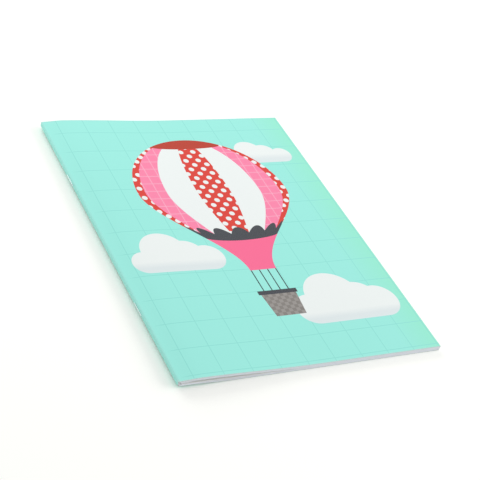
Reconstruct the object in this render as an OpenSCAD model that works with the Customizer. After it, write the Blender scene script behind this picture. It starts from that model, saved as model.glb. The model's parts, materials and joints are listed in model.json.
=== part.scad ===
// Stapled monthly planner: one creased cover card, folded sheets nested inside it,
// and two wire staples through the spine. It lies closed on its back cover.
// X runs from the spine to the fore-edge, Y from the foot of the pages to the head, Z is up.
// The origin is on the underside of the back cover, in the middle of the page.

/* [Format] */
// Width of the closed booklet from the spine to the fore-edge
page_w = 215.9; // [140:0.1:300]
// Height of the pages along the spine
page_h = 279.4; // [200:0.1:420]

/* [Paper] */
// Number of folded sheets inside the cover
folio_count = 12; // [4:1:14]
// Thickness of one leaf of paper
leaf_t = 0.12; // [0.08:0.01:0.2]
// Thickness of the cover card
cover_t = 0.3; // [0.2:0.05:0.6]
// Air between two leaves where they lie pressed together
leaf_air = 0.03; // [0.02:0.01:0.08]

/* [Spine] */
// Air between two sheets where they turn round the spine
fold_air = 0.12; // [0.03:0.01:0.15]
// How far the front half of the booklet springs up beside the spine
front_spring = 0.4; // [0:0.1:3]
// How far the topmost leaf of the back half springs up there, those below it less and less
back_spring = 0.7; // [0:0.1:2]
// Distance from the spine's centre to the top of both rises
spring_peak = 12; // [8:1:30]
// Distance from the spine's centre at which all the leaves lie flat again
spring_end = 110; // [60:5:130]
// Distance from the spine's centre at which the front half's leaves lie pressed together again
press_end = 16; // [8:1:60]

/* [Staples] */
// Diameter of the staple wire
wire_d = 0.5; // [0.4:0.05:0.8]
// Length of the staple's crown on the outside of the spine
crown_w = 13; // [9:0.5:18]
// Gap between the two folded tips inside the centrefold
tip_gap = 2.5; // [1:0.5:4]
// Inner radius of the wire's bends
bend_r = 0.05; // [0.03:0.01:0.2]
// Distance from each end of the spine to the middle of its staple
staple_inset = 70; // [30:1:90]

/* [Clearances] */
// Clearance round the wire in the holes that it pierces
hole_clear = 0.03; // [0.02:0.01:0.06]
// Clearance between the wire and the paper that it lies on
seat_clear = 0.02; // [0.01:0.01:0.05]
// Room in the centrefold beside the folded tips
tip_room = 0.25; // [0.2:0.05:0.5]
// Gap between a turning leaf and the fold that it continues
turn_clear = 0.06; // [0.04:0.01:0.15]

/* [Hidden] */
// Smoothness of the round faces
$fn = 48;
// Straight stretches in a leaf's curve
curve_steps = 14;
// Overshoot of a cutting shape past the faces that it cuts
cut_over = 1;

cover_color = "#A4EFE4";
paper_color = "#F3F4F2";
wire_color = "#C9CCCE";

leaf_count = 2 * folio_count;
wire_r = wire_d / 2;

// Spacing of neighbouring sheets, in the folds and where they lie pressed together
fold_pitch = leaf_t + fold_air;
leaf_pitch = leaf_t + leaf_air;

// Radii round the spine's centre line, from the centrefold outwards
fold_r = wire_r + tip_room;
cover_inner_r = fold_r + folio_count * fold_pitch;
spine_r = cover_inner_r + cover_t;
crown_r = spine_r + seat_clear + wire_r;
hub_r = crown_r + wire_r + turn_clear;
fold_end_r = hub_r - turn_clear;

// The spine's centre line, round which every leaf turns
spine_x = spine_r - page_w / 2;
spine_z = spine_r;
reach = page_w - spine_r;

// Staples: middle of each along the page, its legs, bends and folded tips
staple_y = page_h / 2 - staple_inset;
leg_y = crown_w / 2 - wire_r;
turn_r = wire_r + bend_r;
tip_x = -(fold_r - seat_clear - wire_r);
leg_len = tip_x + crown_r - 2 * turn_r;
tip_len = leg_y - turn_r - tip_gap / 2;

function two_digits(n) = str(n < 10 ? "0" : "", n);
function leaf_name(n) = str("leaf_", two_digits(n));
function fold_name(n) = str("folio_", two_digits(n), "_fold");

// Sheets are counted inwards: 0 is the cover, then the folded sheets down to the centrefold
function sheet_t(n) = n == 0 ? cover_t : leaf_t;
function fold_inner_r(n) = fold_r + (folio_count - n) * fold_pitch;

// Cosine ease from 0 to 1
function ease(t) = (1 - cos(180 * min(max(t, 0), 1))) / 2;
function settle(s) = ease((s - hub_r) / (spring_end - hub_r));
function rise(s) = ease((s - hub_r) / (spring_peak - hub_r))
    * (1 - ease((s - spring_peak) / (spring_end - spring_peak)));
function press(s) = ease((s - hub_r) / (press_end - hub_r));
function between(a, b, t) = a + (b - a) * t;

// Height of a leaf's underside above the table where the booklet lies flat, counted from the back cover
function flat_z(n) = n == 0 ? 0 : cover_t + leaf_air + (n - 1) * leaf_pitch;

// Underside of the front half's sheet n at a distance s from the spine's centre line
function front_z(n, s) = between(spine_z + cover_inner_r, flat_z(leaf_count + 1), settle(s))
    + front_spring * rise(s) - n * between(fold_pitch, leaf_pitch, press(s));

// Underside of the back half's sheet n there
function back_z(n, s) = between(spine_z - fold_inner_r(n) - sheet_t(n), flat_z(n), settle(s))
    + back_spring * n / folio_count * rise(s);

// Distances at which a leaf's curve has a point, closer together near the spine
curve_end = min(spring_end, reach);
stations = [0, for (i = [0 : curve_steps]) hub_r + (curve_end - hub_r) * pow(i / curve_steps, 1.6),
    if (reach > curve_end) reach];

// Puts an outline drawn in X and Z on the spine's centre line, and extrudes it along the page
module along_page() {
    translate([spine_x, 0, spine_z])
        rotate([90, 0, 0])
            linear_extrude(height = page_h, center = true)
                children();
}

// Round bar along the spine's centre line, longer than the page
module spine_bar(r) {
    translate([spine_x, 0, spine_z])
        rotate([90, 0, 0])
            cylinder(r = r, h = page_h + 2 * cut_over, center = true);
}

// One half of sheet n from the spine's centre line to the fore-edge, along its curve
module sheet_outline(n, is_front) {
    under = [for (s = stations) [s, (is_front ? front_z(n, s) : back_z(n, s)) - spine_z]];
    over = [for (i = [len(stations) - 1 : -1 : 0]) under[i] + [0, sheet_t(n)]];
    polygon(concat(under, over));
}

// A sheet that turns round the spine starts outside the folds and the staples
module turning_sheet(n, is_front) {
    difference() {
        along_page() sheet_outline(n, is_front);
        spine_bar(hub_r);
    }
}

// Half ring round the left side of the spine's centre line
module half_ring(inner_r, outer_r) {
    difference() {
        circle(r = outer_r);
        circle(r = inner_r);
        translate([0, -outer_r - cut_over])
            square([outer_r + cut_over, 2 * (outer_r + cut_over)]);
    }
}

// The bend of a folded sheet: a half ring and the straight runs above and below it,
// which end just inside the leaves that continue them
module fold_bend(inner_r, t) {
    along_page() half_ring(inner_r, inner_r + t);
    intersection() {
        along_page()
            for (base = [inner_r, -inner_r - t])
                translate([0, base])
                    square([hub_r, t]);
        spine_bar(fold_end_r);
    }
}

// Holes for the legs of both staples, from outside the spine to the centrefold
module staple_holes() {
    for (end = [-1, 1], side = [-1, 1])
        translate([spine_x, end * staple_y + side * leg_y, spine_z])
            rotate([0, -90, 0])
                cylinder(r = wire_r + hole_clear, h = crown_r + cut_over);
}

module front_cover() {
    color(cover_color) turning_sheet(0, true);
}

module cover_spine() {
    color(cover_color) difference() {
        fold_bend(cover_inner_r, cover_t);
        staple_holes();
    }
}

module back_cover() {
    color(cover_color) turning_sheet(0, false);
}

// Leaves are counted from the front; those past the centrefold are back halves
module leaf(n) {
    color(paper_color) turning_sheet(min(n, leaf_count + 1 - n), n <= folio_count);
}

// The fold that joins leaf n to the leaf that is as far from the back
module folio_fold(n) {
    color(paper_color) difference() {
        fold_bend(fold_inner_r(n), leaf_t);
        staple_holes();
    }
}

// Quarter turn of the wire
module wire_bend() {
    rotate_extrude(angle = 90)
        translate([turn_r, 0])
            circle(r = wire_r);
}

// Half of a staple: crown outside the spine, a leg through the folds, a tip folded back to the middle
module half_staple() {
    translate([-crown_r, 0, 0])
        rotate([-90, 0, 0])
            cylinder(r = wire_r, h = leg_y - turn_r);
    translate([turn_r - crown_r, leg_y - turn_r, 0])
        rotate([0, 0, 90])
            wire_bend();
    translate([turn_r - crown_r, leg_y, 0])
        rotate([0, 90, 0])
            cylinder(r = wire_r, h = leg_len);
    translate([tip_x - turn_r, leg_y - turn_r, 0])
        wire_bend();
    translate([tip_x, leg_y - turn_r, 0])
        rotate([90, 0, 0])
            cylinder(r = wire_r, h = tip_len);
}

module staple(end) {
    color(wire_color)
        translate([spine_x, end * staple_y, spine_z]) {
            half_staple();
            mirror([0, 1, 0]) half_staple();
        }
}

module upper_staple() {
    staple(1);
}

module lower_staple() {
    staple(-1);
}

front_cover();
cover_spine();
back_cover();
for (n = [1 : leaf_count])
    leaf(n);
for (n = [1 : folio_count])
    folio_fold(n);
upper_staple();
lower_staple();
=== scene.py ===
import json
import math
import bpy
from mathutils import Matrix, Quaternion, Vector


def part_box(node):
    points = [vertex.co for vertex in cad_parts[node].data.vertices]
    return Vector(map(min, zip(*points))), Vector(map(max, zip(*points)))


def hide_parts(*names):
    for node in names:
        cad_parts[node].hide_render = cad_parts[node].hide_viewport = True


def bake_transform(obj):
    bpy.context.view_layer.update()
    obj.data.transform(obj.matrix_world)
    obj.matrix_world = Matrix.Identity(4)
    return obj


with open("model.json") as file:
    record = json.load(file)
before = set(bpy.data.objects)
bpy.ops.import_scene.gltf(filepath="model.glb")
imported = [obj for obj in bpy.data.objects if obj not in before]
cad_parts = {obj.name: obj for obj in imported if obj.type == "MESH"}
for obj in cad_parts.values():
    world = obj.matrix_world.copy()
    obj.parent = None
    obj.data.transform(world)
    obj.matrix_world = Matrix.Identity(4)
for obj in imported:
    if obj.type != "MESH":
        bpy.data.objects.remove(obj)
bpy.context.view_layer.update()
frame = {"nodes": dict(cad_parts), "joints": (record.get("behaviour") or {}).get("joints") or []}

mm = 0.001
bpy.ops.object.select_all(action="DESELECT")
bpy.context.scene.view_settings.view_transform = "Standard"


def linear(hexColour):
    parts = [int(hexColour[i:i + 2], 16) / 255 for i in (1, 3, 5)]
    return tuple(c / 12.92 if c <= 0.04045 else ((c + 0.055) / 1.055) ** 2.4 for c in parts) + (1.0,)


# Inputs go in order into the sockets that the settings leave on, or by name; a node stands for its output
def addNode(tree, kind, inputs=(), **settings):
    node = tree.nodes.new("ShaderNode" + kind)
    for key, value in settings.items():
        setattr(node, key, value)
    sockets = [s for s in node.inputs if s.enabled]
    pairs = inputs.items() if isinstance(inputs, dict) else enumerate(inputs)
    for key, value in pairs:
        socket = sockets[key] if isinstance(key, int) else node.inputs[key]
        if isinstance(value, bpy.types.Node):
            value = next(s for s in value.outputs if s.enabled)
        if isinstance(value, bpy.types.NodeSocket):
            tree.links.new(value, socket)
        else:
            socket.default_value = value
    return node


def newMaterial(name):
    material = bpy.data.materials.new(name)
    material.use_nodes = True
    material.node_tree.nodes.clear()
    return material, material.node_tree


# the camera, fitted to the cover's four edges in the photo: metres, degrees, and millimetres of lens and film
cameraView = {"place": (-0.46965, -0.60190, 0.56900), "aim": (0.00394, -0.00608, 0.0),
              "roll": 20.748, "lens": 94.05, "film": 36}


def addCamera():
    place, aim = Vector(cameraView["place"]), Vector(cameraView["aim"])
    bpy.ops.object.camera_add(location=place)
    camera = bpy.context.object
    camera.name = "photoCamera"
    camera.rotation_mode = "QUATERNION"
    roll = Quaternion((0, 0, 1), math.radians(cameraView["roll"]))
    camera.rotation_quaternion = (aim - place).to_track_quat("-Z", "Y") @ roll
    camera.data.lens = cameraView["lens"]
    camera.data.sensor_width = cameraView["film"]
    bpy.context.scene.camera = camera


addCamera()
print("camera in place")

# the spine's centre line and the page, read from the frame
hinge = next(j for j in frame["joints"] if j["name"] == "spine_hinge")
spineX, spineZ = hinge["pos_m"][0], hinge["pos_m"][2]
footY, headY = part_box("front_cover")[0][1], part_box("front_cover")[1][1]
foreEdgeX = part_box("front_cover")[1][0]
pageHeight, pageWidth = headY - footY, foreEdgeX - spineX + spineZ

# How the folded sheets lie: the nest of folds at the spine as in the part, the spring beside it, then flat.
# The crease is a superellipse, in which power 2 is round. A squeeze is given at the foot and at the head
sheets = {"folios": 12, "leafThick": 0.12 * mm, "coverThick": 0.3 * mm,
          "leafAir": 0.03 * mm, "foldAir": 0.12 * mm, "foldRadius": 0.5 * mm, "hubRadius": 4.26 * mm,
          "frontSpring": -0.2 * mm, "backSpring": -0.2 * mm, "springPeak": 12 * mm,
          "springEnd": 110 * mm, "pressEnd": 8 * mm,
          "creasePower": 4.5, "roundPower": 2, "bendEnd": 0.1 * mm, "creaseLean": 1.0 * mm, "leanPower": 2,
          "squeezeStart": 2 * mm, "frontSqueezeEnd": 18 * mm, "backSqueezeEnd": 45 * mm,
          "frontSqueeze": (0.26, 0.38), "backSqueeze": (0.48, 0.42),
          "ringSteps": 18, "curveSteps": 30, "curvePower": 1.6, "smoothAngle": 35}
folios = sheets["folios"]
foldPitch = sheets["leafThick"] + sheets["foldAir"]
leafPitch = sheets["leafThick"] + sheets["leafAir"]
coverRadius = sheets["foldRadius"] + folios * foldPitch


def between(a, b, t):
    return a + (b - a) * t


def ease(distance, start, end):
    t = min(max((distance - start) / (end - start), 0), 1)
    return (1 - math.cos(math.pi * t)) / 2


# 0 at the folds, 1 where the leaves lie flat
def settle(s):
    return ease(s, sheets["hubRadius"], sheets["springEnd"])


# 0 at the folds, 1 at the top of the spring, 0 again where the leaves lie flat
def rise(s):
    up = ease(s, sheets["hubRadius"], sheets["springPeak"])
    return up * (1 - ease(s, sheets["springPeak"], sheets["springEnd"]))


def thickness(n):
    return sheets["coverThick"] if n == 0 else sheets["leafThick"]


def foldRadius(n):
    return sheets["foldRadius"] + (folios - n) * foldPitch


def flatHeight(n):
    return 0 if n == 0 else sheets["coverThick"] + sheets["leafAir"] + (n - 1) * leafPitch


# height of the side that faces the centrefold, for the front half's sheet n and the back half's
def frontHeight(n, s):
    pitch = between(foldPitch, leafPitch, ease(s, sheets["hubRadius"], sheets["pressEnd"]))
    cover = between(spineZ + coverRadius, flatHeight(2 * folios + 1), settle(s))
    return cover + sheets["frontSpring"] * rise(s) - n * pitch


def backHeight(n, s):
    nested = spineZ - foldRadius(n) - thickness(n)
    lift = sheets["backSpring"] * n / folios * rise(s)
    return between(nested, flatHeight(n), settle(s)) + lift + thickness(n)


# distances from the spine at which a sheet bends, closer together near it
def curveStations():
    start, end, steps = sheets["hubRadius"], sheets["springEnd"], sheets["curveSteps"]
    bends = [start + (end - start) * (i / steps) ** sheets["curvePower"] for i in range(steps + 1)]
    return bends + [foreEdgeX - spineX]


# One half of a folded sheet, from the middle of its fold to the fore-edge: the fold's line is spun round
# the spine, drawn out along the page's curve, and given its thickness away from the centrefold
def halfSheet(name, n, isFront, materials):
    radius, side = foldRadius(n), 1 if isFront else -1
    height = frontHeight if isFront else backHeight
    bpy.ops.object.select_all(action="DESELECT")
    bpy.ops.mesh.primitive_plane_add(size=pageHeight)
    sheet = bpy.context.object
    sheet.name = sheet.data.name = name
    bpy.ops.transform.translate(value=(spineX - radius + pageHeight / 2, (footY + headY) / 2, spineZ))
    bpy.ops.object.transform_apply(location=True, rotation=True, scale=True)
    bpy.ops.object.mode_set(mode="EDIT")
    bpy.ops.mesh.select_mode(type="VERT")
    bpy.ops.mesh.select_all(action="DESELECT")
    bpy.ops.object.mode_set(mode="OBJECT")
    for vertex in sheet.data.vertices:
        vertex.select = vertex.co.x > spineX
    bpy.ops.object.mode_set(mode="EDIT")
    bpy.ops.mesh.delete(type="VERT")
    bpy.ops.mesh.select_all(action="SELECT")
    bpy.ops.mesh.spin(steps=sheets["ringSteps"], angle=math.pi / 2,
                      center=(spineX, 0, spineZ), axis=(0, -side, 0))
    lastS, lastZ = 0, spineZ + side * radius
    for s in curveStations():
        z = height(n, s)
        bpy.ops.mesh.extrude_region_move(TRANSFORM_OT_translate={"value": (s - lastS, 0, z - lastZ)})
        lastS, lastZ = s, z
    bpy.ops.mesh.select_all(action="SELECT")
    bpy.ops.mesh.normals_make_consistent(inside=False)
    bpy.ops.object.mode_set(mode="OBJECT")
    if sum(p.normal.z * side for p in sheet.data.polygons) < 0:
        bpy.ops.object.mode_set(mode="EDIT")
        bpy.ops.mesh.flip_normals()
        bpy.ops.object.mode_set(mode="OBJECT")

    # the print's place in millimetres: across from the spine as a ruler reads, and up from the foot
    places = sheet.data.uv_layers.new(name="printPlace")
    for loop in sheet.data.loops:
        p = sheet.data.vertices[loop.vertex_index].co
        across = p.x - spineX + radius
        if p.x < spineX:
            across = radius * (1 - math.asin(min((spineX - p.x) / radius, 1)))
        places.data[loop.index].uv = (across / mm, (p.y - footY) / mm)

    # The pressed crease is squarer than a round bend, the cover's most of all, and leans out near the top.
    # Both halves are squeezed together towards it, as a share of their thickness at the foot and at the head
    square = between(sheets["creasePower"], sheets["roundPower"], n / folios)
    squeezed = sheets["frontSqueeze"] if isFront else sheets["backSqueeze"]
    squeezeEnd = sheets["frontSqueezeEnd"] if isFront else sheets["backSqueezeEnd"]
    for vertex in sheet.data.vertices:
        x, z = vertex.co.x - spineX, vertex.co.z - spineZ
        fromLeft = x + coverRadius
        if x < sheets["bendEnd"]:
            spread = radius * (abs(min(x, 0)) ** square + abs(z) ** square) ** (-1 / square)
            x, z = x * spread, z * spread
            x -= (max(z, 0) / coverRadius) ** sheets["leanPower"] * sheets["creaseLean"]
        squeeze = between(squeezed[0], squeezed[1], (vertex.co.y - footY) / pageHeight)
        z *= 1 - squeeze * (1 - ease(fromLeft, sheets["squeezeStart"], squeezeEnd))
        vertex.co.x, vertex.co.z = spineX + x, spineZ + z

    # Solidify keeps the sheet's faces first, then adds those of its other side, then the cut edges
    facesOfSide = len(sheet.data.polygons)
    solid = sheet.modifiers.new("paperThickness", "SOLIDIFY")
    solid.thickness, solid.offset, solid.use_even_offset = thickness(n), 1, True
    bpy.ops.object.modifier_apply(modifier=solid.name)
    for material in materials:
        sheet.data.materials.append(material)
    firstIsOuter = sum(p.normal.z * side for p in sheet.data.polygons[:facesOfSide]) > 0
    for face in sheet.data.polygons:
        isOuter = (face.index < facesOfSide) == firstIsOuter
        face.material_index = 2 if face.index >= 2 * facesOfSide else 0 if isOuter else 1
    bpy.ops.object.shade_smooth_by_angle(angle=math.radians(sheets["smoothAngle"]))

    # the part of model.glb that this half stands for is hidden
    turns = "front_cover" if n == 0 else f"leaf_{n:02d}"
    if not isFront:
        turns = "back_cover" if n == 0 else f"leaf_{2 * folios + 1 - n:02d}"
    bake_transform(sheet)
    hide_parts(turns)
    return sheet


# Coated cover card: smooth print, flat in colour, with a satin sheen and the card's slight waviness.
# The ink is rubbed pale along the crease and along the cut edges. The pale spot at the crease's ends is
# partly rubbed ink and partly a painted highlight. Sizes are in millimetres, and the coating's grain is
# drawn coarser than it is, so that it shows
coverPrint = {"mint": "#A2F0E3", "mintForeEdge": "#9EF0D5", "foreEdgeTint": 30,
              "gridInk": "#95E5D9", "gridPitch": (22.56, 23.6), "gridStart": (11.0, 3.2), "gridLine": 0.6,
              "gridFade": (3, 9),
              "worn": "#DCE6E2", "wornSize": 3, "wornNoise": (0.35, 0.65), "wornShare": (0.5, 1.0),
              "ridge": 0.75, "creaseWear": 0.1, "creaseEnd": 2.8, "endWear": 0.55, "endSize": 2.4,
              "edgeWear": 0.55, "edgeSize": 0.9,
              # the cut edge's colours: grey-green from ink on the cut, and darker with painted shade
              "core": "#C9D6D2", "coreDark": "#B2C4BF", "inside": "#F6F6F3",
              "roughness": 0.6, "roughSpread": 0.05, "ior": 1.5, "specular": 0.16,
              "waveSize": 35, "waveHeight": 0.6, "waveBump": 0.12,
              "grainSize": 0.8, "grainNoise": (0.3, 0.7), "grainHeight": 0.05, "grainBump": 0.05}

# The picture on the front, in millimetres from the spine and the foot, and the basket's down from the mouth.
# Widest, belt, skirt and cap are shares of the balloon's height. Each cloud has its foot, the puffs at both
# ends as place and radius, and the puffs between them as place, height and radius
picture = {"centre": 112, "mouth": 96, "crown": 252, "halfWidth": 66, "widest": 0.58, "mouthShare": 0.17,
           "gores": 7, "goreSlack": 0.001, "red": "#E0493F", "darkRed": "#BE4636", "pink": "#FF8CAF",
           "darkPink": "#FF739B", "paleLine": "#FFB3C9", "white": "#F2F7F4", "paleGrey": "#E4ECEC",
           "warmGrey": "#9E9994", "weaveGrey": "#8B8681", "darkGrey": "#3C3E42", "stripe": "#5A5D62",
           "dotPitch": 11, "dotRadius": 2.3, "pinkGrid": 9, "pinkLine": 0.7, "stripePitch": 1.8,
           "sag": 0.03, "beltEdge": (0.29, 0.335), "skirtTop": 0.24, "capFoot": 0.955,
           "basketTop": 24, "basketFoot": 48, "basketHalf": 15, "basketTaper": 2.5, "weave": 3.2,
           "rimHalf": 2.0, "rimOver": 1.5, "ropes": (3.5, 10.5), "ropeHalf": 0.45, "ropeTuck": 0.5,
           "cloudShade": (5, 11),
           "clouds": [(100, (22, 11), (74, 13), [(41, 122, 19), (58, 117, 15)]),
                      (219, (151, 8), (196, 9), [(167, 234, 13), (181, 231, 11)]),
                      (36, (133, 15), (192, 16), [(156, 62, 24), (176, 56, 18)])]}


# lines of a given width, one pitch apart, counted from well before the page
def ruledLines(tree, place, start, pitch, width):
    linesBefore = 100
    offset = addNode(tree, "Math", [place, start - pitch * linesBefore], operation="SUBTRACT")
    apart = addNode(tree, "Math", [offset, pitch / 2], operation="PINGPONG")
    return addNode(tree, "Math", [apart, width / 2], operation="LESS_THAN")


def printedCard(name, hasPicture):
    material, tree = newMaterial(name)
    place = addNode(tree, "UVMap", uv_map="printPlace")
    split = addNode(tree, "SeparateXYZ", [place])
    across, up = split.outputs["X"], split.outputs["Y"]

    tint = addNode(tree, "MapRange", [across, pageWidth / mm - coverPrint["foreEdgeTint"], pageWidth / mm])
    colour = addNode(tree, "Mix", [tint, linear(coverPrint["mint"]), linear(coverPrint["mintForeEdge"])],
                     data_type="RGBA")
    (startAcross, startUp), (pitchAcross, pitchUp) = coverPrint["gridStart"], coverPrint["gridPitch"]
    upright = ruledLines(tree, across, startAcross, pitchAcross, coverPrint["gridLine"])
    level = ruledLines(tree, up, startUp, pitchUp, coverPrint["gridLine"])
    lines = addNode(tree, "Math", [upright, level], operation="MAXIMUM")
    fade = addNode(tree, "MapRange", [across, *coverPrint["gridFade"]])
    grid = addNode(tree, "Math", [lines, fade], operation="MULTIPLY")
    colour = addNode(tree, "Mix", [grid, colour, linear(coverPrint["gridInk"])], data_type="RGBA")
    if hasPicture:
        colour = balloonPicture(tree, colour, across, up)

    ridge, endSize = coverPrint["ridge"], coverPrint["endSize"]
    toHead = addNode(tree, "Math", [pageHeight / mm, up], operation="SUBTRACT")
    toEnd = addNode(tree, "Math", [up, toHead], operation="MINIMUM")
    toForeEdge = addNode(tree, "Math", [pageWidth / mm, across], operation="SUBTRACT")
    toEdge = addNode(tree, "Math", [toEnd, toForeEdge], operation="MINIMUM")
    crease = addNode(tree, "MapRange", [across, ridge, coverPrint["creaseEnd"],
                                        coverPrint["creaseWear"], 0.0])
    edge = addNode(tree, "MapRange", [toEdge, 0.0, coverPrint["edgeSize"], coverPrint["edgeWear"], 0.0])
    rubbed = addNode(tree, "Math", [crease, edge], operation="MAXIMUM")
    patches = addNode(tree, "TexNoise", {"Vector": place, "Scale": 1 / coverPrint["wornSize"], "Detail": 3.0})
    patchy = addNode(tree, "MapRange", [patches, *coverPrint["wornNoise"], *coverPrint["wornShare"]])
    rubbed = addNode(tree, "Math", [rubbed, patchy], operation="MULTIPLY")
    # a pale spot at both ends of the crease: partly rubbed ink, partly a painted highlight
    aside = addNode(tree, "Math", [across, ridge], operation="SUBTRACT")
    away = addNode(tree, "VectorMath", [addNode(tree, "CombineXYZ", [aside, toEnd, 0.0])], operation="LENGTH")
    endHighlight = addNode(tree, "MapRange", [away.outputs["Value"], 0.0, endSize, coverPrint["endWear"], 0.0])
    worn = addNode(tree, "Math", [rubbed, endHighlight], operation="MAXIMUM")
    colour = addNode(tree, "Mix", [worn, colour, linear(coverPrint["worn"])], data_type="RGBA")

    wave = addNode(tree, "TexNoise", {"Vector": place, "Scale": 1 / coverPrint["waveSize"], "Detail": 1.0})
    grain = addNode(tree, "TexNoise", {"Vector": place, "Scale": 1 / coverPrint["grainSize"], "Detail": 2.0})
    rough, spread = coverPrint["roughness"], coverPrint["roughSpread"]
    sheen = addNode(tree, "MapRange", [grain, *coverPrint["grainNoise"], rough - spread, rough + spread])
    waveBump = addNode(tree, "Bump", {"Strength": coverPrint["waveBump"], "Height": wave,
                                      "Distance": coverPrint["waveHeight"] * mm})
    bump = addNode(tree, "Bump", {"Strength": coverPrint["grainBump"], "Height": grain,
                                  "Distance": coverPrint["grainHeight"] * mm, "Normal": waveBump})
    shader = addNode(tree, "BsdfPrincipled", {"Base Color": colour, "Roughness": sheen,
                                              "IOR": coverPrint["ior"],
                                              "Specular IOR Level": coverPrint["specular"], "Normal": bump})
    addNode(tree, "OutputMaterial", [shader])
    return material


# a hot-air balloon among clouds, in flat inks
def balloonPicture(tree, ground, across, up):
    p = picture
    inks = {key: linear(p[key]) for key in ("red", "darkRed", "pink", "darkPink", "paleLine", "white",
                                            "paleGrey", "warmGrey", "weaveGrey", "darkGrey", "stripe")}
    spot = addNode(tree, "CombineXYZ", [across, up, 0.0])
    colour = ground
    for foot, left, right, middle in p["clouds"]:
        low = min(left[1], right[1])
        inWidth = addNode(tree, "Math", [across, (left[0] + right[0]) / 2, (right[0] - left[0]) / 2],
                          operation="COMPARE")
        inHeight = addNode(tree, "Math", [up, foot + low, low], operation="COMPARE")
        cloud = addNode(tree, "Math", [inWidth, inHeight], operation="MULTIPLY")
        for x, y, r in [(left[0], foot + left[1], left[1]), (right[0], foot + right[1], right[1])] + middle:
            away = addNode(tree, "VectorMath", [spot, (x, y, 0)], operation="DISTANCE")
            puff = addNode(tree, "Math", [away, r], operation="LESS_THAN")
            cloud = addNode(tree, "Math", [cloud, puff], operation="MAXIMUM")
        shade = addNode(tree, "MapRange", [up, *(foot + shaded for shaded in p["cloudShade"])])
        ink = addNode(tree, "Mix", [shade, inks["paleGrey"], inks["white"]], data_type="RGBA")
        colour = addNode(tree, "Mix", [cloud, colour, ink], data_type="RGBA")

    # place in the balloon: height from mouth to crown, and across as a share of its width there
    aside = addNode(tree, "Math", [across, p["centre"]], operation="SUBTRACT")
    height = addNode(tree, "MapRange", [up, p["mouth"], p["crown"], 0.0, 1.0], clamp=False)
    domeHeight = addNode(tree, "MapRange", [height, p["widest"], 1.0, 0.0, 1.0])
    square = addNode(tree, "Math", [domeHeight, 2.0], operation="POWER")
    rest = addNode(tree, "Math", [1.0, square], operation="SUBTRACT")
    dome = addNode(tree, "Math", [rest], operation="SQRT")
    taper = addNode(tree, "MapRange", [height, 0.0, p["widest"], p["mouthShare"], 1.0],
                    interpolation_type="SMOOTHSTEP")
    share = addNode(tree, "Math", [dome, taper], operation="MULTIPLY")
    halfWidth = addNode(tree, "Math", [share, p["halfWidth"]], operation="MULTIPLY")
    gone = addNode(tree, "Math", [aside, halfWidth], operation="DIVIDE")
    held = addNode(tree, "Clamp", [gone, -1.0, 1.0])
    turn = addNode(tree, "Math", [held], operation="ARCSINE")
    gore = addNode(tree, "MapRange", [turn, -math.pi / 2, math.pi / 2, 0.0, p["gores"] - p["goreSlack"]])
    goreIndex = addNode(tree, "Math", [gore], operation="FLOOR")
    fromMiddle = addNode(tree, "Math", [goreIndex, p["gores"] // 2], operation="SUBTRACT")
    ring = addNode(tree, "Math", [fromMiddle], operation="ABSOLUTE")

    # red gores with dots, white gores, pink gores with a pale grid, counted from the middle one outwards
    turned = addNode(tree, "Mapping", {"Vector": spot, "Rotation": (0, 0, math.pi / 4)})
    dots = addNode(tree, "TexVoronoi", {"Vector": turned, "Scale": 1 / p["dotPitch"] * math.sqrt(2),
                                        "Randomness": 0.0}, voronoi_dimensions="2D")
    dot = addNode(tree, "Math", [dots, p["dotRadius"] / p["dotPitch"] * math.sqrt(2)], operation="LESS_THAN")
    redGore = addNode(tree, "Mix", [dot, inks["red"], inks["white"]], data_type="RGBA")
    lineAcross = ruledLines(tree, across, 0, p["pinkGrid"], p["pinkLine"])
    lineUp = ruledLines(tree, up, 0, p["pinkGrid"], p["pinkLine"])
    lines = addNode(tree, "Math", [lineAcross, lineUp], operation="MAXIMUM")
    pinkGore = addNode(tree, "Mix", [lines, inks["pink"], inks["paleLine"]], data_type="RGBA")
    whiteRing, pinkRing, nearly = 1.0, 2.0, 0.1
    isWhite = addNode(tree, "Math", [ring, whiteRing, nearly], operation="COMPARE")
    isPink = addNode(tree, "Math", [ring, pinkRing, nearly], operation="COMPARE")
    cloth = addNode(tree, "Mix", [isWhite, redGore, inks["white"]], data_type="RGBA")
    cloth = addNode(tree, "Mix", [isPink, cloth, pinkGore], data_type="RGBA")

    # striped belt with a scalloped edge, dark pink skirt below it, dark red cap
    slant = addNode(tree, "Math", [across, up], operation="ADD")
    striped = ruledLines(tree, slant, 0, p["stripePitch"], p["stripePitch"] / 2)
    belt = addNode(tree, "Mix", [striped, inks["darkGrey"], inks["stripe"]], data_type="RGBA")
    inGore = addNode(tree, "Math", [gore], operation="FRACT")
    halfTurn = addNode(tree, "Math", [inGore, math.pi], operation="MULTIPLY")
    lobe = addNode(tree, "Math", [halfTurn], operation="SINE")
    bulge = addNode(tree, "Math", [turn], operation="COSINE")
    sag = addNode(tree, "Math", [bulge, p["sag"]], operation="MULTIPLY")
    level = addNode(tree, "Math", [height, sag], operation="ADD")
    edge = addNode(tree, "MapRange", [lobe, 0.0, 1.0, *p["beltEdge"]])
    belowEdge = addNode(tree, "Math", [level, edge], operation="LESS_THAN")
    cloth = addNode(tree, "Mix", [belowEdge, cloth, belt], data_type="RGBA")
    skirt = addNode(tree, "Math", [level, p["skirtTop"]], operation="LESS_THAN")
    cloth = addNode(tree, "Mix", [skirt, cloth, inks["darkPink"]], data_type="RGBA")
    cap = addNode(tree, "Math", [level, p["capFoot"]], operation="GREATER_THAN")
    cloth = addNode(tree, "Mix", [cap, cloth, inks["darkRed"]], data_type="RGBA")

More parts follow.
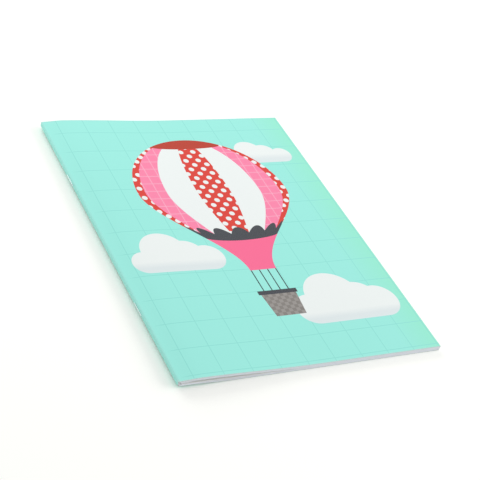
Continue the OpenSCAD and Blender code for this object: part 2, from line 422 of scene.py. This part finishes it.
    # ropes and basket hang under the mouth
    basketTop, basketFoot = p["mouth"] - p["basketTop"], p["mouth"] - p["basketFoot"]
    basketHalf = p["basketHalf"]
    distance = addNode(tree, "Math", [aside], operation="ABSOLUTE")
    inner = addNode(tree, "Math", [distance, p["ropes"][0], p["ropeHalf"]], operation="COMPARE")
    outer = addNode(tree, "Math", [distance, p["ropes"][1], p["ropeHalf"]], operation="COMPARE")
    rope = addNode(tree, "Math", [inner, outer], operation="MAXIMUM")
    ropeMiddle, ropeReach = (basketTop + p["mouth"]) / 2, (p["mouth"] - basketTop) / 2 + p["ropeTuck"]
    ropeBand = addNode(tree, "Math", [up, ropeMiddle, ropeReach], operation="COMPARE")
    rope = addNode(tree, "Math", [rope, ropeBand], operation="MULTIPLY")
    colour = addNode(tree, "Mix", [rope, colour, inks["darkGrey"]], data_type="RGBA")
    weave = addNode(tree, "TexChecker", {"Vector": spot, "Scale": 1 / p["weave"], "Color1": inks["warmGrey"],
                                         "Color2": inks["weaveGrey"]})
    basketBand = addNode(tree, "Math", [up, (basketTop + basketFoot) / 2, (basketTop - basketFoot) / 2],
                         operation="COMPARE")
    narrow = addNode(tree, "MapRange", [up, basketFoot, basketTop, basketHalf - p["basketTaper"], basketHalf])
    within = addNode(tree, "Math", [distance, narrow], operation="LESS_THAN")
    basket = addNode(tree, "Math", [basketBand, within], operation="MULTIPLY")
    colour = addNode(tree, "Mix", [basket, colour, weave], data_type="RGBA")
    rimBand = addNode(tree, "Math", [up, basketTop, p["rimHalf"]], operation="COMPARE")
    rimWithin = addNode(tree, "Math", [distance, basketHalf + p["rimOver"]], operation="LESS_THAN")
    rim = addNode(tree, "Math", [rimBand, rimWithin], operation="MULTIPLY")
    colour = addNode(tree, "Mix", [rim, colour, belt], data_type="RGBA")

    # the balloon itself, from its mouth to its crown and no wider than it is
    tall = addNode(tree, "Math", [height, 0.5, 0.5], operation="COMPARE")
    far = addNode(tree, "Math", [gone], operation="ABSOLUTE")
    inside = addNode(tree, "Math", [far, 1.0], operation="LESS_THAN")
    balloon = addNode(tree, "Math", [tall, inside], operation="MULTIPLY")
    return addNode(tree, "Mix", [balloon, colour, cloth], data_type="RGBA")


# Uncoated paper: no gloss, fibres as a faint mottle. Sizes are in millimetres, and the fibres are drawn
# coarser than they are, so that they show; those of the cut edge are drawn out along the fore-edge.
# The cut edge's cooler, darker white is painted shade
paper = {"white": "#F4F5F3", "fibre": "#EDEEEC", "edge": "#EDF1F7", "edgeDark": "#DEE3EC",
         "fibreSize": 0.5, "fibreNoise": (0.35, 0.65), "fibreHeight": 0.02, "fibreBump": 0.15,
         "edgeStretch": (1, 0.2, 1), "roughness": 0.85, "ior": 1.5, "specular": 0.25,
         "ink": "#9FB9B8", "faintInk": "#D3DEDD", "band": "#A6F0E6", "inkLine": 0.35}


def plainPaper(name, white, dark, stretch=(1, 1, 1)):
    material, tree = newMaterial(name)
    place = addNode(tree, "UVMap", uv_map="printPlace")
    stretched = addNode(tree, "Mapping", {"Vector": place, "Scale": stretch})
    fibre = addNode(tree, "TexNoise", {"Vector": stretched, "Scale": 1 / paper["fibreSize"], "Detail": 3.0})
    spread = addNode(tree, "MapRange", [fibre, *paper["fibreNoise"]])
    colour = addNode(tree, "Mix", [spread, linear(dark), linear(white)], data_type="RGBA")
    return material, tree, colour, fibre


def finishPaper(tree, colour, fibre):
    bump = addNode(tree, "Bump", {"Strength": paper["fibreBump"], "Height": fibre,
                                  "Distance": paper["fibreHeight"] * mm})
    shader = addNode(tree, "BsdfPrincipled", {"Base Color": colour, "Roughness": paper["roughness"],
                                              "IOR": paper["ior"], "Specular IOR Level": paper["specular"],
                                              "Normal": bump})
    addNode(tree, "OutputMaterial", [shader])


def blankPaper(name, white, dark, stretch=(1, 1, 1)):
    material, tree, colour, fibre = plainPaper(name, white, dark, stretch)
    finishPaper(tree, colour, fibre)
    return material


# Blocks of a page in millimetres, from the gutter and from the foot: lines a cell apart, or a filled band
def printedPaper(name, blocks):
    material, tree, colour, fibre = plainPaper(name, paper["white"], paper["fibre"])
    split = addNode(tree, "SeparateXYZ", [addNode(tree, "UVMap", uv_map="printPlace")])
    across, up = split.outputs["X"], split.outputs["Y"]
    for block in blocks:
        (left, right), (foot, head), line = block["across"], block["up"], block["line"]
        edge = line / 2
        inAcross = addNode(tree, "Math", [across, (left + right) / 2, (right - left) / 2 + edge],
                           operation="COMPARE")
        inUp = addNode(tree, "Math", [up, (foot + head) / 2, (head - foot) / 2 + edge], operation="COMPARE")
        mark = addNode(tree, "Math", [inAcross, inUp], operation="MULTIPLY")
        lines = []
        if block.get("columns"):
            lines.append(ruledLines(tree, across, left, (right - left) / block["columns"], line))
        if block.get("rows"):
            lines.append(ruledLines(tree, up, foot, (head - foot) / block["rows"], line))
        if lines:
            drawn = lines[0] if len(lines) == 1 else addNode(tree, "Math", lines, operation="MAXIMUM")
            mark = addNode(tree, "Math", [mark, drawn], operation="MULTIPLY")
        colour = addNode(tree, "Mix", [mark, colour, linear(paper[block["ink"]])], data_type="RGBA")
    finishPaper(tree, colour, fibre)
    return material


# columns of a page from the gutter and rows from its foot, in millimetres
page = {"across": {"all": (14, 204), "grid": (14, 156), "list": (164, 204), "left": (14, 104),
                   "right": (114, 204), "boxes": (114, 120)},
        "up": {"title": (248, 264), "days": (232, 240), "weeks": (22, 232), "list": (22, 240),
               "notesTitle": (254, 264), "notes": (22, 246), "upper": (186, 246), "lower": (22, 174)}}


def band(across, up):
    return {"across": page["across"][across], "up": page["up"][up], "line": 0.0, "ink": "band"}


def ruling(across, up, rows, columns=0, ink="ink"):
    return {"across": page["across"][across], "up": page["up"][up], "rows": rows, "columns": columns,
            "line": paper["inkLine"], "ink": ink}


pageBlocks = {
    "monthLeft": [band("all", "title"), band("all", "days"),
                  ruling("all", "weeks", 5, 4), ruling("all", "days", 1, 4)],
    "monthRight": [band("all", "title"), band("grid", "days"),
                   ruling("grid", "weeks", 5, 3), ruling("grid", "days", 1, 3),
                   ruling("list", "list", 24, ink="faintInk")],
    "notesLeft": [band("all", "notesTitle"), ruling("all", "notes", 28, ink="faintInk")],
    "notesRight": [band("left", "notesTitle"), ruling("left", "upper", 5, 7),
                   band("right", "notesTitle"), ruling("right", "upper", 6, ink="faintInk"),
                   ruling("boxes", "upper", 10, 1), ruling("all", "lower", 19, ink="faintInk")]}

# zinc-coated staple wire: bright, dulled in patches, which are drawn at 1.2 mm so that they show
staple = {"zinc": "#F8F9FA", "dull": "#D4D9DC", "roughness": (0.18, 0.36),
          "patchSize": 1.2, "patchNoise": (0.3, 0.7)}


def stapleWire(name):
    material, tree = newMaterial(name)
    place = addNode(tree, "TexCoord").outputs["Object"]
    patches = addNode(tree, "TexNoise", {"Vector": place, "Scale": 1 / (staple["patchSize"] * mm),
                                         "Detail": 2.0})
    colour = addNode(tree, "Mix", [patches, linear(staple["dull"]), linear(staple["zinc"])], data_type="RGBA")
    rough = addNode(tree, "MapRange", [patches, *staple["patchNoise"], *staple["roughness"]])
    shader = addNode(tree, "BsdfPrincipled", {"Base Color": colour, "Metallic": 1.0, "Roughness": rough})
    addNode(tree, "OutputMaterial", [shader])
    return material


# the card's white inside; its cut edge, grey-green from ink and darker with painted shade; and the pages'
# cut edges with fine streaks, in a cool white darkened with painted shade
coverInside = blankPaper("uncoatedCardInside", coverPrint["inside"], paper["fibre"])
shadedCardEdge = blankPaper("cutCardEdge", coverPrint["core"], coverPrint["coreDark"])
shadedLeafEdge = blankPaper("cutPaperEdge", paper["edge"], paper["edgeDark"], paper["edgeStretch"])
pages = {}
for key, blocks in pageBlocks.items():
    pages[key] = printedPaper("offsetPaper" + key[0].upper() + key[1:], blocks)
print("materials ready")

frontPrint, backPrint = printedCard("satinCoverCardFront", True), printedCard("satinCoverCardBack", False)
frontCover = halfSheet("frontCover", 0, True, [frontPrint, coverInside, shadedCardEdge])
backCover = halfSheet("backCover", 0, False, [backPrint, coverInside, shadedCardEdge])
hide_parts("cover_spine")
print("cover card folded")

# Spread k lies between leaf k and the next. Twelve of them are months, and the other pages are for notes
months = {"firstSpread": 2, "count": 12}
monthSpreads = range(months["firstSpread"], months["firstSpread"] + months["count"])
for n in range(1, folios + 1):
    for isFront in (True, False):
        number = n if isFront else 2 * folios + 1 - n
        recto = pages["monthRight" if number - 1 in monthSpreads else "notesRight"]
        verso = pages["monthLeft" if number in monthSpreads else "notesLeft"]
        outer, inner = (recto, verso) if isFront else (verso, recto)
        leaf = halfSheet(f"leaf{number:02d}", n, isFront, [outer, inner, shadedLeafEdge])
        if isFront:
            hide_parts(f"folio_{n:02d}_fold")
print("leaves nested")

wire = stapleWire("zincStapleWire")
for name in ("upper_staple", "lower_staple"):
    node = frame["nodes"][name]
    node.data.materials.clear()
    node.data.materials.append(wire)
print("staples finished")

# White paper in a bright room, with a wide softbox behind the head and one on the right in front.
# The paper looks brighter to the camera than it lights the booklet, as an overexposed backdrop does
studio = {"floorSize": 2.0, "floorDrop": 0.05 * mm, "floorWhite": "#F7F7F2", "floorLift": 1.22,
          "skyLight": 0.659, "sky": "#FCFDFF",
          "backFrom": (-0.25, 0.85, 0.4), "backSize": (1.5, 0.6), "backPower": 4.65,
          "frontFrom": (1.2, -0.4, 0.6), "frontSize": (1.8, 0.8), "frontPower": 9}


# 1 for what the camera sees, straight or in a shine, and 0 for what only lights the pieces
def seenByCamera(tree):
    light = addNode(tree, "LightPath")
    shiny = addNode(tree, "Math", [light.outputs["Is Glossy Ray"], light.outputs["Is Transmission Ray"]],
                    operation="MAXIMUM")
    return addNode(tree, "Math", [light.outputs["Is Camera Ray"], shiny], operation="MAXIMUM")


def addFloor():
    bpy.ops.object.select_all(action="DESELECT")
    bpy.ops.mesh.primitive_plane_add(size=studio["floorSize"], location=(0, 0, -studio["floorDrop"]))
    floor = bpy.context.object
    floor.name = "studioFloor"
    material, tree = newMaterial("matteStudioPaper")
    seen = seenByCamera(tree)
    lift = addNode(tree, "MapRange", [seen, 0.0, 1.0, 1.0, studio["floorLift"]])
    white = addNode(tree, "VectorMath", [linear(studio["floorWhite"])[:3], lift], operation="SCALE")
    shader = addNode(tree, "BsdfDiffuse", {"Color": white})
    addNode(tree, "OutputMaterial", [shader])
    floor.data.materials.append(material)


def addLights():
    world = bpy.data.worlds.new("softStudio")
    bpy.context.scene.world = world
    world.use_nodes = True
    tree = world.node_tree
    tree.nodes.clear()
    seen = seenByCamera(tree)
    strength = addNode(tree, "MapRange", [seen, 0.0, 1.0, studio["skyLight"], 1.0])
    sky = addNode(tree, "Background", {"Color": linear(studio["sky"]), "Strength": strength})
    addNode(tree, "OutputWorld", [sky])
    for side in ("back", "front"):
        bpy.ops.object.light_add(type="AREA", location=studio[side + "From"])
        lamp = bpy.context.object
        lamp.name = side + "Light"
        lamp.data.shape = "ELLIPSE"
        lamp.data.size, lamp.data.size_y = studio[side + "Size"]
        lamp.data.energy = studio[side + "Power"]
        lamp.rotation_euler = (-Vector(studio[side + "From"])).to_track_quat("-Z", "Y").to_euler()


addFloor()
addLights()
print("studio lit")
